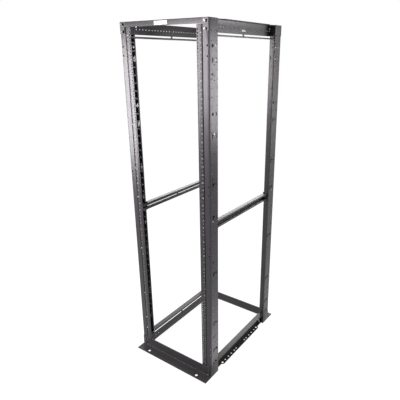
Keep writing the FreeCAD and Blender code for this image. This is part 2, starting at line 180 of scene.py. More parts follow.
# %% Outlines of a blank
def box_loop(u_low, u_high, v_low, v_high):
    """Corners of an upright rectangle."""
    return [(u_low, v_low), (u_high, v_low), (u_high, v_high), (u_low, v_high)]


def slot_loop(u, v, across, along, turn=0.0):
    """Slot with round ends about (u, v), turned by an angle."""
    steps = 5
    radius = min(across, along) / 2
    reach = (max(across, along) - 2 * radius) / 2
    lean = turn + (0 if across > along else math.pi / 2)
    corners = []
    for end in (0, 1):
        for step in range(steps + 1):
            angle = math.pi * (step / steps - 0.5 + end)
            far = radius * math.cos(angle) + (reach if end == 0 else -reach)
            side = radius * math.sin(angle)
            corners.append((u + far * math.cos(lean) - side * math.sin(lean),
                            v + far * math.sin(lean) + side * math.cos(lean)))
    return corners


def hook_loop(u, top, width, height, cut):
    """Lanced cut like an upside down U that frees a tongue."""
    half, leg = width / 2, width / 2 - cut
    foot, under = top - height, top - cut
    return [(u - half, foot), (u - leg, foot), (u - leg, under), (u + leg, under),
            (u + leg, foot), (u + half, foot), (u + half, top), (u - half, top)]


def round_holes(u, row, bore):
    """Round holes of one bore, all at the same u and at each v of a row."""
    return [(u, v, bore, bore) for v in row]


def blank_mesh(loops, holes):
    """Mesh of closed outlines, with one loose point for each (u, v, across, along) hole."""
    points, edges = [], []
    for loop in loops:
        first = len(points)
        points += [(u, v, 0) for u, v in loop]
        edges += [(first + k, first + (k + 1) % len(loop)) for k in range(len(loop))]
    across = [0.0] * len(points) + [hole[2] for hole in holes]
    along = [0.0] * len(points) + [hole[3] for hole in holes]
    points += [(u, v, 0) for u, v, *size in holes]
    mesh = bpy.data.meshes.new("blank")
    mesh.from_pydata(points, edges, [])
    for title, values in (("hole_across", across), ("hole_along", along)):
        mesh.attributes.new(title, "FLOAT", "POINT").data.foreach_set("value", values)
    return mesh


# %% Run a tree on a mesh and keep the result
def new_object(name, data):
    """Object of the given data, in the scene."""
    item = bpy.data.objects.new(name, data)
    bpy.context.scene.collection.objects.link(item)
    return item


def worked_mesh(carrier):
    """Plain mesh of an object with its modifiers worked in. The object is removed."""
    bpy.context.view_layer.update()
    ready = carrier.evaluated_get(bpy.context.evaluated_depsgraph_get())
    result = bpy.data.meshes.new_from_object(ready)
    bpy.data.objects.remove(carrier)
    return result


def socket_of(tree, name):
    """Identifier of one of the tree's inputs."""
    return next(item.identifier for item in tree.interface.items_tree
                if item.name == name and item.in_out == "INPUT")


def run_tree(tree, mesh, settings):
    """The mesh that the tree makes from the given one, as a plain mesh."""
    carrier = new_object("carrier", mesh)
    modifier = carrier.modifiers.new("made", "NODES")
    modifier.node_group = tree
    for name, value in settings.items():
        modifier[socket_of(tree, name)] = value
    result = worked_mesh(carrier)
    bpy.data.meshes.remove(mesh)
    return result


@contextmanager
def editing(mesh):
    """Opens a mesh for edits and writes them back to it."""
    bm = bmesh.new()
    bm.from_mesh(mesh)
    yield bm
    bm.to_mesh(mesh)
    bm.free()


# %% [markdown]
# ## Folding
# A press brake bends the blank along straight lines. The function does the same to the points: all
# beyond the line first runs round the bend's radius and then straight down. The bend is cut into a
# few strips first, because a long triangle can't follow a curve. A sheet with a lip on its flange
# is folded from the edge inward, as on a real brake, so the fold carries along what hangs below.

# %% Fold one flange of a blank
BEND_STRIPS = 4


def fold(bm, axis, start, toward, limit=None, radius=BEND):
    """Bends what lies beyond a line on one axis by a right angle, away from the upper face."""
    arc = radius * math.pi / 2
    normal = Vector((1, 0, 0)) if axis == 0 else Vector((0, 1, 0))
    for strip in range(BEND_STRIPS + 1):
        place = normal * (start + toward * arc * strip / BEND_STRIPS)
        everything = bm.verts[:] + bm.edges[:] + bm.faces[:]
        bmesh.ops.bisect_plane(bm, geom=everything, plane_co=place, plane_no=normal, dist=1e-7)
    for vert in bm.verts:
        beyond = toward * (vert.co[axis] - start)
        if beyond < 1e-7 or (limit and abs(vert.co[1 - axis]) > limit):
            continue
        angle = min(beyond / radius, math.pi / 2)
        swing = radius + vert.co[2]
        vert.co[axis] = start + toward * swing * math.sin(angle)
        vert.co[2] = swing * math.cos(angle) - radius - max(beyond - arc, 0)


def beyond_fold(distance, radius=BEND):
    """Blank length past a bend's start for a folded flange that reaches this distance."""
    return radius * math.pi / 2 + distance - radius


# %% [markdown]
# ## Thickness and rounded edges
# Solidify gives the folded skin the sheet's thickness, away from its outer face. The faces that it
# adds around the holes and edges are the cut edges of the steel. They get a narrow rounding, which
# catches the light, and an attribute of their own, so that the finish can show wear there.

# %% Thicken a skin and round its cut edges
SMOOTH_ANGLE = math.radians(32)


def thicken(skin, thickness):
    """Sheet of the given thickness behind a skin, with its cut edges rounded and marked."""
    skin_faces = len(skin.polygons)
    carrier = new_object("carrier", skin)
    solid = carrier.modifiers.new("thickness", "SOLIDIFY")
    solid.thickness = thickness
    solid.offset = -1
    solid.use_even_offset = True
    solid.use_quality_normals = True
    result = worked_mesh(carrier)
    bpy.data.meshes.remove(skin)

    with editing(result) as bm:
        mark = bm.faces.layers.float.new("cut_edge")
        for face in bm.faces:
            face[mark] = 1.0 if face.index >= 2 * skin_faces else 0.0
        corners = [edge for edge in bm.edges if sum(face[mark] for face in edge.link_faces) == 1]
        rounded = bmesh.ops.bevel(bm, geom=corners, offset=EDGE_ROUND, segments=1, affect="EDGES",
                                  profile=0.5, clamp_overlap=False)
        for face in rounded["faces"]:
            face[mark] = 1.0
        for face in bm.faces:
            face.smooth = True
    result.set_sharp_from_angle(angle=SMOOTH_ANGLE)
    return result


def place_matrix(origin, u_axis, v_axis, w_axis):
    """Matrix that carries (u, v, w) of a blank to its place in the rack."""
    matrix = Matrix.Identity(4)
    for column, axis in enumerate((u_axis, v_axis, w_axis, origin)):
        for row in range(3):
            matrix[row][column] = axis[row]
    return matrix


def folded_sheet(loops, holes, folds, place, thickness, hole_sides=HOLE_SIDES, finish=None):
    """Punch, fold, place and thicken one sheet."""
    skin = run_tree(punch_tree, blank_mesh(loops, holes),
                    {"Hole sides": hole_sides, "Finish": finish or powder_coat})
    with editing(skin) as bm:
        for settings in folds:
            fold(bm, *settings)
        bm.transform(place)
        if place.determinant() < 0:
            bmesh.ops.reverse_faces(bm, faces=bm.faces[:])
    return thicken(skin, thickness)


def joined(meshes):
    """One mesh from several."""
    result = bpy.data.meshes.new("joined")
    with editing(result) as bm:
        for mesh in meshes:
            bm.from_mesh(mesh)
    for material in meshes[0].materials:
        result.materials.append(material)
    for mesh in meshes:
        bpy.data.meshes.remove(mesh)
    return result


def add_piece(name, mesh, node=None):
    """Finished piece that rides the frame, and stands for a CAD node where one is named."""
    mesh.name = name
    piece = new_object(name, mesh)
    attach(piece, "root")
    if node:
        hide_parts(node)
    triangles = sum(len(face.vertices) - 2 for face in mesh.polygons)
    print(name, triangles, "triangles")


# %% [markdown]
# ## Powder coat
# Black powder coat is a thick satin plastic skin. It has the fine dimples called orange peel, a
# slightly uneven gloss, thin worn lines on cut edges and a little dust that settles on faces that
# look up. Wear and dust are shader groups, because the bolts gather them too. One function mixes
# the tone and gloss of every finish: coat, zinc, blackened steel, white ink and label film.

# %% Group: worn edges
def new_group(name, numbers, output):
    """Shader group with named numbers in and a mask out, and its two end nodes."""
    group = bpy.data.node_groups.new(name, "ShaderNodeTree")
    add_socket = group.interface.new_socket
    for title, value in numbers.items():
        add_socket(title, in_out="INPUT", socket_type="NodeSocketFloat").default_value = value
    add_socket(output, in_out="OUTPUT", socket_type="NodeSocketFloat")
    return group, group.nodes.new("NodeGroupInput"), group.nodes.new("NodeGroupOutput")


def noise_of(tree, scale, detail, roughness=0.5):
    """Noise on Object coordinates."""
    place = new_node(tree, "ShaderNodeTexCoord").outputs["Object"]
    inputs = {"Vector": place, "Scale": scale, "Detail": detail, "Roughness": roughness}
    return new_node(tree, "ShaderNodeTexNoise", inputs).outputs["Fac"]


def build_wear_group():
    """Mask of worn spots along the marked cut edges."""
    group, given, result = new_group("edge_wear", {"Amount": 0.5, "Patch scale": 60.0}, "Worn")
    edge = new_node(group, "ShaderNodeAttribute", attribute_name="cut_edge").outputs["Fac"]
    patches = noise_of(group, given.outputs["Patch scale"], 2)
    spread = new_node(group, "ShaderNodeMapRange",
                      {"From Min": 0.45, "From Max": 0.65, "Value": patches})
    spotted = math_node(group, "MULTIPLY", spread.outputs["Result"], edge)
    feed(group, result, {"Worn": math_node(group, "MULTIPLY", spotted, given.outputs["Amount"])})
    return group


def build_dust_group():
    """Mask of dust on faces that look up."""
    group, given, result = new_group("settled_dust", {"Amount": 0.2}, "Dust")
    facing = new_node(group, "ShaderNodeNewGeometry").outputs["Normal"]
    split = new_node(group, "ShaderNodeSeparateXYZ", {"Vector": facing})
    upward = new_node(group, "ShaderNodeMapRange", {"From Min": 0.35, "Value": split.outputs["Z"]})
    speckle = noise_of(group, 240, 6, 0.7)
    settled = math_node(group, "MULTIPLY", upward.outputs["Result"], speckle)
    feed(group, result, {"Dust": math_node(group, "MULTIPLY", settled, given.outputs["Amount"])})
    return group


wear_group = build_wear_group()
dust_group = build_dust_group()
print("shader groups", [group.name for group in (wear_group, dust_group)])


# %% Materials
def mixed_colour(tree, mask, low, high):
    """Colour that goes from low to high with the mask."""
    low, high = ((*value, 1) if isinstance(value, tuple) else value for value in (low, high))
    mix = new_node(tree, "ShaderNodeMix", {"Factor": mask, 6: low, 7: high}, data_type="RGBA")
    return mix.outputs[2]


def ranged(tree, value, low, high):
    """Value between 0 and 1 moved to a range."""
    inputs = {"To Min": low, "To Max": high, "Value": value}
    return new_node(tree, "ShaderNodeMapRange", inputs).outputs["Result"]


def mask_of(tree, group, inputs):
    """Mask that a shader group makes with its own values."""
    return new_node(tree, "ShaderNodeGroup", inputs, node_tree=group).outputs[0]


def new_material(name):
    """Empty material, its tree and its Principled shader."""
    material = bpy.data.materials.new(name)
    material.use_nodes = True
    return material, material.node_tree, material.node_tree.nodes["Principled BSDF"]


COAT_DARK = (0.0255, 0.0234, 0.0258)
COAT_LIGHT = (0.0330, 0.0303, 0.0333)
COAT_SHEEN = (1.0, 0.94, 1.0, 1)
WORN_STEEL = (0.16, 0.16, 0.165)
DUST = (0.30, 0.29, 0.27)


def build_finish(name, tones, tone_grain, gloss, gloss_grain, worn=None, dust=None, others=None):
    """Material of uneven tone and gloss, with worn edges and dust where it gets them."""
    material, tree, shader = new_material(name)
    tone = mixed_colour(tree, noise_of(tree, *tone_grain), *tones)
    if worn:
        tone = mixed_colour(tree, mask_of(tree, wear_group, worn), tone, WORN_STEEL)
    if dust:
        tone = mixed_colour(tree, mask_of(tree, dust_group, dust), tone, DUST)
    feed(tree, shader, {"Base Color": tone, **(others or {}),
                        "Roughness": ranged(tree, noise_of(tree, *gloss_grain), *gloss)})
    return material


def add_orange_peel(material):
    """Fine dimples of a thick powder coat."""
    tree = material.node_tree
    peel = new_node(tree, "ShaderNodeBump",
                    {"Strength": 0.12, "Distance": 0.0002, "Height": noise_of(tree, 1400, 2)})
    feed(tree, tree.nodes["Principled BSDF"], {"Normal": peel.outputs["Normal"]})


powder_coat = build_finish("satin_black_powder", (COAT_DARK, COAT_LIGHT), (9, 4),
                           (0.26, 0.33), (30, 5), worn={"Amount": 0.55, "Patch scale": 38.0},
                           dust={"Amount": 0.16},
                           others={"Specular IOR Level": 0.27, "Specular Tint": COAT_SHEEN})
add_orange_peel(powder_coat)
zinc = build_finish("fastener_zinc", ((0.34, 0.34, 0.35), (0.48, 0.48, 0.49)), (420, 3),
                    (0.30, 0.42), (900, 2), dust={"Amount": 0.15}, others={"Metallic": 1.0})
black_bolt = build_finish("blackened_steel", ((0.030, 0.029, 0.031), (0.044, 0.042, 0.045)),
                          (500, 3), (0.20, 0.30), (800, 2), others={"Specular IOR Level": 0.8},
                          worn={"Amount": 0.4, "Patch scale": 300.0})
print_white = build_finish("print_white", ((0.44, 0.44, 0.43), (0.54, 0.54, 0.53)), (700, 4),
                           (0.5, 0.65), (260, 2))
label_white = build_finish("white_label", ((0.80, 0.80, 0.79), (0.86, 0.86, 0.85)), (300, 3),
                           (0.35, 0.5), (260, 2))
finishes = (powder_coat, zinc, black_bolt, print_white, label_white)
print("materials", [material.name for material in finishes])

# %% [markdown]
# ## Posts
# Each post is a channel: a web outside, a lip at the front or rear and a flange toward the bay.
# All four come from one blank. The places of its holes are measured from the lip's face across the
# web, and down from the post's top (drops) or up from the floor (levels). On each arm they are
# measured from the web's outer face, as with a rule on the finished post. The lip reaches a little
# further toward its rail than the solid's does, and leaves only a narrow dark gap. The free edge of
# the inner flange is folded back into a narrow return, which stiffens the post.

# %% Holes of a post
WEB_OVALS = (21 * MM, 68 * MM)
WEB_OVAL = (10 * MM, 5.4 * MM)
ROW_DROP = 59 * MM
ROW_COUNT = 42
SLOT_ROW = 3
WEB_PAIRS = (28.5 * MM, 60 * MM)
PAIR_DROPS = (126 * MM, 456 * MM)
PAIR_BORE = 17 * MM
WEB_SLOT_DROP = 192.5 * MM
WEB_SLOT = (15 * MM, 27 * MM)
SINGLE_PLACE = 25 * MM
SINGLE_LEVELS = [level * MM for level in (1875.5, 1330, 827, 298, 95.5)]
SINGLE_BORE = 14 * MM
MIDDLE_PLACE = 43.5 * MM
MIDDLE_LEVELS = [level * MM for level in
                 (1918, 1868, 1844, 1467.5, 1194, 1144, 1009, 955, 646, 300, 252)]
HOOK_PLACE = 44 * MM
HOOK_DROPS = (557 * MM, 827 * MM, 1018 * MM)
HOOK_LEVELS = (754 * MM, 406 * MM, 205 * MM)
HOOK_SIZE = (42 * MM, 23 * MM, 9 * MM)
LEANING_SLOT = (46 * MM, 103 * MM, 32 * MM, 7 * MM, math.radians(-43))
LIP_PLACE = 10 * MM
LIP_EXTRA = 3.5 * MM
LIP_LEVELS = [level * MM for level in (2008, 1960, 1291, 1241, 920, 870)]
LIP_BORE = 9 * MM
LOW_LIP_LEVELS = (215 * MM, 168 * MM)
LOW_LIP_BORE = 4.5 * MM
FLANGE_PLACE = 16 * MM
FLANGE_OVAL = (5.5 * MM, 4 * MM)
FLANGE_SLOT_PLACE = 23 * MM
FLANGE_SLOT_DROPS = (189 * MM, 556 * MM)
FLANGE_SLOT = (10 * MM, 32 * MM)
FLANGE_BORES = ((2006 * MM, 8 * MM), (1688 * MM, 8 * MM))
LOW_FLANGE_PLACE, LOW_FLANGE_LEVEL, LOW_FLANGE_BORE = 19 * MM, 931 * MM, 7 * MM
RETURN_DEPTH = 10 * MM
BAR_BOLT_LEVEL = 1081 * MM
BAR_BOLT_HOLES = ((27.5 * MM, 12 * MM), (50 * MM, 6 * MM))


def lip_u(distance):
    """Blank coordinate of a place on the lip, from the web's outer face."""
    return BEND - beyond_fold(distance)


def flange_u(distance):
    """Blank coordinate of a place on the inner flange, from the web's outer face."""
    return post_depth - BEND + beyond_fold(distance)


RETURN_BEND = flange_u(arm_width - BEND)


def post_holes():
    """Round and oval holes of a post."""
    rows = [rack_height - ROW_DROP - UNIT * row for row in range(ROW_COUNT)]
    holes = []
    for row, level in enumerate(rows):
        if row != SLOT_ROW:
            if all(abs(rack_height - drop - level) > PAIR_BORE / 2 for drop in PAIR_DROPS):
                holes += [(place, level, *WEB_OVAL) for place in WEB_OVALS]
            holes.append((flange_u(FLANGE_PLACE), level, *FLANGE_OVAL))
    for drop in PAIR_DROPS:
        holes += [(place, rack_height - drop, PAIR_BORE, PAIR_BORE) for place in WEB_PAIRS]
    holes += round_holes(SINGLE_PLACE, SINGLE_LEVELS, SINGLE_BORE)
    holes += [(MIDDLE_PLACE, level, *WEB_OVAL) for level in MIDDLE_LEVELS]
    holes += round_holes(lip_u(LIP_PLACE), LIP_LEVELS, LIP_BORE)
    holes += round_holes(lip_u(LIP_PLACE), LOW_LIP_LEVELS, LOW_LIP_BORE)
    holes += [(flange_u(FLANGE_PLACE), level, bore, bore) for level, bore in FLANGE_BORES]
    holes += round_holes(flange_u(LOW_FLANGE_PLACE), (LOW_FLANGE_LEVEL,), LOW_FLANGE_BORE)
    for place, bore in BAR_BOLT_HOLES:
        holes += round_holes(place, (BAR_BOLT_LEVEL,), bore)
    return holes


def post_loops():
    """Outline, slots and hooks of a post."""
    return_edge = RETURN_BEND + beyond_fold(RETURN_DEPTH)
    loops = [box_loop(lip_u(arm_width + LIP_EXTRA), return_edge, 0, rack_height)]
    loops += [slot_loop(place, rack_height - WEB_SLOT_DROP, *WEB_SLOT) for place in WEB_PAIRS]
    loops += [slot_loop(flange_u(FLANGE_SLOT_PLACE), rack_height - drop, *FLANGE_SLOT)
              for drop in FLANGE_SLOT_DROPS]
    hook_tops = [rack_height - drop for drop in HOOK_DROPS] + list(HOOK_LEVELS)
    loops += [hook_loop(HOOK_PLACE, top, *HOOK_SIZE) for top in hook_tops]
    loops.append(slot_loop(*LEANING_SLOT))
    return loops


# %% The four posts
HOLE_GAP = 4 * MM


def is_near(value, values):
    """Whether a value lies between others, or within the gap from them."""
    return min(values) - HOLE_GAP < value < max(values) + HOLE_GAP


def clear_of(holes, loops):
    """The holes whose middle is not near any inner outline."""
    inner = [tuple(zip(*loop)) for loop in loops[1:]]
    return [hole for hole in holes
            if not any(is_near(hole[0], us) and is_near(hole[1], vs) for us, vs in inner)]


X, Y, Z = Vector((1, 0, 0)), Vector((0, 1, 0)), Vector((0, 0, 1))
CORNERS = (("front_right", 1, -1), ("front_left", -1, -1),
           ("rear_right", 1, 1), ("rear_left", -1, 1))
post_folds = ((0, RETURN_BEND, 1), (0, BEND, -1), (0, post_depth - BEND, 1))
cut_loops = post_loops()
cut_holes = clear_of(post_holes(), cut_loops)
for corner, side, end in CORNERS:
    place = place_matrix((side * half_width, end * half_depth, 0), -end * Y, Z, side * X)
    sheet = folded_sheet(cut_loops, cut_holes, post_folds, place, SHEET)
    add_piece("post_sheet_" + corner, sheet, "post_" + corner)

# %% [markdown]
# ## Mounting rails
# Equipment is screwed to four angle rails. Each rack unit has three holes at the EIA spacing, so
# the rail is one long blank with 45 groups of three holes and a single fold. The rail is a little
# longer at the top than the solid, and its holes are wider, so that they stay clear from afar.

# %% The four rails
rail_edge = rail_low[0]
rail_wall = rail_high[0]
rail_depth = rail_high[1] - rail_low[1]
HOLE_COLUMN = rail_edge + 7.135 * MM
UNIT_BASE = 88 * MM
UNIT_COUNT = 45
UNIT_HOLES = (6.35 * MM, 22.225 * MM, 38.1 * MM)
UNIT_BORE = 8 * MM
RAIL_HOLE_SIDES = 10
RAIL_EXTRA = 5 * MM

rail_blank = box_loop(rail_edge, rail_wall - BEND + beyond_fold(rail_depth), rail_low[2],
                      rail_high[2] + RAIL_EXTRA)
unit_levels = [UNIT_BASE + unit * UNIT + level
               for unit in range(UNIT_COUNT) for level in UNIT_HOLES]
rail_holes = round_holes(HOLE_COLUMN, unit_levels, UNIT_BORE)
rail_fold = (0, rail_wall - BEND, 1)
for corner, side, end in CORNERS:
    place = place_matrix((0, end * half_depth, 0), side * X, Z, end * Y)
    sheet = folded_sheet([rail_blank], rail_holes, [rail_fold], place, SHEET, RAIL_HOLE_SIDES)
    add_piece("rail_angle_" + corner, sheet, "mounting_rail_" + corner)

# %% [markdown]
# ## Side beams
# The upper and lower beams are channels that open to the outside. Two long slots near the inner
# edge let the rails slide to any depth. Their ends are folded into tabs behind the lips of the
# posts. Small slits beside the flange ends keep the sheet from tearing when it is folded.

# %% Blank of a side beam
beam_face = beam_low[0]
beam_end = beam_high[1]
beam_height = beam_high[2] - beam_low[2]
BAY_HALF = 303.7 * MM
FLANGE_REACH = 39 * MM
NARROW_REACH = 25 * MM
WIDE_HALF = 247 * MM
CORNER_CUT = 14 * MM
TAB_REACH = 36.2 * MM
SLIT = 2.8 * MM
BEAM_SLOT = (6 * MM, 365 * MM)
BEAM_SLOT_LEVEL = 14 * MM
BEAM_SLOT_HEIGHT = 9 * MM
BEAM_ROW_LEVEL = 35 * MM
BEAM_ROW = [(19 + 25.4 * step) * MM for step in range(14)]
BEAM_END_LEVEL, BEAM_END_PLACE, BEAM_END_BORE = 22 * MM, 300 * MM, 11 * MM
BEAM_ROW_BORE = 6.6 * MM
FLANGE_ROW = [(56, 10.5), (81.5, 10.5), (119, 10.5), (156, 10.5), (195, 10.5), (228, 15)]
FLANGE_ROW_PLACE = 23 * MM


def long_slots(level, height):
    """Pair of long slots along a beam or a bar."""
    length = BEAM_SLOT[1] - BEAM_SLOT[0]
    return [slot_loop(level, way * sum(BEAM_SLOT) / 2, height, length) for way in (1, -1)]


def mirrored_path(half):
    """Outline closed by the same corners on the far side of v = 0."""
    return half + [(u, -v) for u, v in reversed(half)]


def side_beam_blank():
    """Outline and slots, with u up from the outermost edge and v along the beam."""
    tip, narrow = BEND - beyond_fold(FLANGE_REACH), BEND - beyond_fold(NARROW_REACH)
    inner_tip = beam_height - BEND + beyond_fold(FLANGE_REACH)
    tab = beam_end - BEND + beyond_fold(TAB_REACH)
    stop, clear = BAY_HALF, BAY_HALF + SLIT
    half = [(tip, WIDE_HALF - CORNER_CUT), (narrow, WIDE_HALF), (narrow, stop), (BEND, stop),
            (BEND, clear), (0, clear), (0, tab), (beam_height, tab), (beam_height, clear),
            (beam_height - BEND, clear), (beam_height - BEND, stop), (inner_tip, stop)]
    return [mirrored_path(half)] + long_slots(beam_height - BEAM_SLOT_LEVEL, BEAM_SLOT_HEIGHT)


def side_beam_holes():
    """Row of small holes in the web, and a few in the outermost flange."""
    holes = []
    flange_line = BEND - beyond_fold(FLANGE_ROW_PLACE)
    for way in (1, -1):
        holes += round_holes(BEAM_ROW_LEVEL, [way * place for place in BEAM_ROW], BEAM_ROW_BORE)
        holes += round_holes(BEAM_END_LEVEL, (way * BEAM_END_PLACE,), BEAM_END_BORE)
        for place, bore in FLANGE_ROW:
            holes += round_holes(flange_line, (way * place * MM,), bore * MM)
    return holes


# %% The four side beams
flange_limit = BAY_HALF + SLIT / 2
beam_folds = ((0, BEND, -1, flange_limit), (0, beam_height - BEND, 1, flange_limit),
              (1, beam_end - BEND, 1), (1, BEND - beam_end, -1))
beam_loops, beam_holes = side_beam_blank(), side_beam_holes()
for level, up in (("top", -1), ("bottom", 1)):
    for title, side in (("right", 1), ("left", -1)):
        edge = rack_height if up < 0 else 0
        place = place_matrix((side * beam_face, 0, edge), up * Z, Y, -side * X)
        sheet = folded_sheet(beam_loops, beam_holes, beam_folds, place, BEAM_SHEET)
        name = "%s_beam_%s" % (level, title)
        add_piece(name.replace("beam", "beam_channel"), sheet, name)

# %% [markdown]
# ## Middle bars
# A lighter channel stiffens each side at half height. It is one rack unit high, and the edges of
# its flanges are turned in, like a strut channel. The same bar serves both sides: the one on the
# right is turned over, so its row of small holes is below the slot and not above it. The web runs
# on past the posts to the rails, so the bolting tabs that meet the posts are welded on.

# %% Blank of a middle bar
MID_HEIGHT = UNIT
MID_CENTRE = 1042.8 * MM
MID_REACH = 32 * MM
MID_LIP = 8 * MM
MID_BEND = 4 * MM
MID_SLOT_HEIGHT = 10 * MM
MID_PITCH = 25.4 * MM
MID_ROW_COUNT = 11
MID_ROW_LEVEL = 15.5 * MM
MID_ROW_BORE = 3.2 * MM
flat_lip = beyond_fold(MID_REACH - MID_BEND, MID_BEND)
LIP_BENDS = (MID_BEND - flat_lip, MID_HEIGHT - MID_BEND + flat_lip)


def mid_bar_blank():
    """Outline and slots, with u up from the lower edge and v along the bar."""
    stop, clear = BAY_HALF, BAY_HALF + SLIT
    low_tip = LIP_BENDS[0] - beyond_fold(MID_LIP, MID_BEND)
    high_tip = LIP_BENDS[1] + beyond_fold(MID_LIP, MID_BEND)
    half = [(low_tip, stop), (MID_BEND, stop), (MID_BEND, clear), (0, clear), (0, mid_high[1]),
            (MID_HEIGHT, mid_high[1]), (MID_HEIGHT, clear), (MID_HEIGHT - MID_BEND, clear),
            (MID_HEIGHT - MID_BEND, stop), (high_tip, stop)]
    return [mirrored_path(half)] + long_slots(MID_HEIGHT / 2, MID_SLOT_HEIGHT)


def mid_bar_holes(up):
    """Row of small holes in the front half, above the slot or below it."""
    level = MID_HEIGHT / 2 + up * MID_ROW_LEVEL
    places = [-(MID_PITCH / 2 + MID_PITCH * step) for step in range(MID_ROW_COUNT)]
    return round_holes(level, places, MID_ROW_BORE)


# %% The two middle bars
mid_lines = ((LIP_BENDS[0], -1), (LIP_BENDS[1], 1), (MID_BEND, -1), (MID_HEIGHT - MID_BEND, 1))
mid_folds = [(0, start, toward, flange_limit, MID_BEND) for start, toward in mid_lines]
TAB_HOLE = (22 * MM, 3 * MM, 9 * MM, 9 * MM)
tab_centre = (mid_low[2] + mid_high[2]) / 2
tab_width = mid_high[0] - mid_low[0]
tab_height = mid_high[2] - mid_low[2]
tab_blank = box_loop(0, tab_width, -tab_height / 2, tab_height / 2)
for title, side in (("right", 1), ("left", -1)):
    place = place_matrix((side * mid_low[0], 0, MID_CENTRE - MID_HEIGHT / 2), Z, Y, -side * X)
    holes = mid_bar_holes(-side)
    sheets = [folded_sheet(mid_bar_blank(), holes, mid_folds, place, BEAM_SHEET)]
    for end in (1, -1):
        place = place_matrix((side * mid_low[0], end * BAY_HALF, tab_centre), side * X, Z, end * Y)
        sheets.append(folded_sheet([tab_blank], [TAB_HOLE], [], place, BEAM_SHEET))
    bar = joined(sheets)
    add_piece("mid_bar_channel_" + title, bar, "mid_bar_" + title)

# %% [markdown]
# ## Top bars
# A plate with two deeper ears is bolted across the tops of two posts. Its upper edge is folded back
# into a shelf that stiffens it, with slits where the fold ends.

# %% Front and rear top bars
bar_face = -bar_low[1]
bar_shelf = bar_high[1] - bar_low[1]
ear_low = bar_low[2]
EAR_EDGE = 266 * MM
BAR_EDGE = rack_height - 27 * MM
SHELF_HALF = 258.7 * MM
EAR_BOLTS = ((281 * MM, rack_height - 15 * MM), (281 * MM, rack_height - 51 * MM))


def top_bar_outline():
    """Outline with u across the rack and v up."""
    shelf_tip = rack_height - BEND + beyond_fold(bar_shelf)
    half = [(BAR_EDGE, EAR_EDGE), (ear_low, EAR_EDGE), (ear_low, half_width),
            (rack_height, half_width), (rack_height, SHELF_HALF + SLIT),
            (rack_height - BEND, SHELF_HALF + SLIT), (rack_height - BEND, SHELF_HALF),
            (shelf_tip, SHELF_HALF)]
    return [(u, v) for v, u in mirrored_path(half)]


bar_fold = (1, rack_height - BEND, 1, SHELF_HALF + SLIT / 2)
for title, end in (("front", -1), ("rear", 1)):
    place = place_matrix((0, end * bar_face, 0), X, Z, end * Y)
    sheet = folded_sheet([top_bar_outline()], [], [bar_fold], place, BEAM_SHEET)
    add_piece("top_bar_plate_" + title, sheet, "top_bar_" + title)

# %% [markdown]
# ## Base angles
# The rack stands on two heavy angles. The upright leg is bolted to the posts, and the floor leg has
# holes for floor anchors. The steel is thicker, so its bend is wider.

# %% Front and rear base angles
BASE_SHEET = 4 * MM
BASE_BEND = 7 * MM
ANCHOR_PLACE = 207.5 * MM
ANCHOR_OUT = 44 * MM
ANCHOR_BORE = 18 * MM
ANCHOR_SIDES = 20
base_reach = -half_depth - base_low[1]
base_wall = base_high[2]
base_tip = BASE_BEND - beyond_fold(base_reach, BASE_BEND)
base_blank = box_loop(-half_width, half_width, base_tip, base_wall)
anchor_level = BASE_BEND - beyond_fold(ANCHOR_OUT, BASE_BEND)
anchors = [(way * ANCHOR_PLACE, anchor_level, ANCHOR_BORE, ANCHOR_BORE) for way in (1, -1)]
base_fold = (1, BASE_BEND, -1, None, BASE_BEND)
for title, end in (("front", -1), ("rear", 1)):
    place = place_matrix((0, end * half_depth, 0), X, Z, -end * Y)
    sheet = folded_sheet([base_blank], anchors, [base_fold], place, BASE_SHEET, ANCHOR_SIDES)
    add_piece("base_angle_sheet_" + title, sheet, "base_angle_" + title)

# %% [markdown]
# ## Bolts
# Hexagon bolts on washers hold the rack together: blackened ones at the bars, angles and tabs, and
# zinc plated ones at the rails and in the posts' webs. They differ in size only, so one tree sets
# a washer, a head and the head's chamfered crown on every point, and turns each along the point's
# own direction. Each head is also turned a little about its axis, as a wrench leaves it.

# %% A tree that sets bolts on points
WASHER_SIDES, HEAD_SIDES, CROWN_SIDES = 20, 6, 18
CROWN_WIDTH = 0.86
CROWN_HEIGHT = 0.3
CROWN_TAPER = 0.72
TURN_SEED = 7


def turned_part(tree, sides, width, height, bottom, taper=1.0):
    """Cylinder or cone frustum that stands on a level, as geometry."""
    radius = math_node(tree, "MULTIPLY", width, 0.5)
    part = new_node(tree, "GeometryNodeMeshCone",
                    {"Vertices": sides, "Radius Bottom": radius, "Depth": height,
                     "Radius Top": math_node(tree, "MULTIPLY", radius, taper)})
    shift = new_node(tree, "ShaderNodeCombineXYZ", {"Z": bottom})
    inputs = {"Geometry": part.outputs["Mesh"], "Translation": shift.outputs["Vector"]}
    return new_node(tree, "GeometryNodeTransform", inputs).outputs["Geometry"]


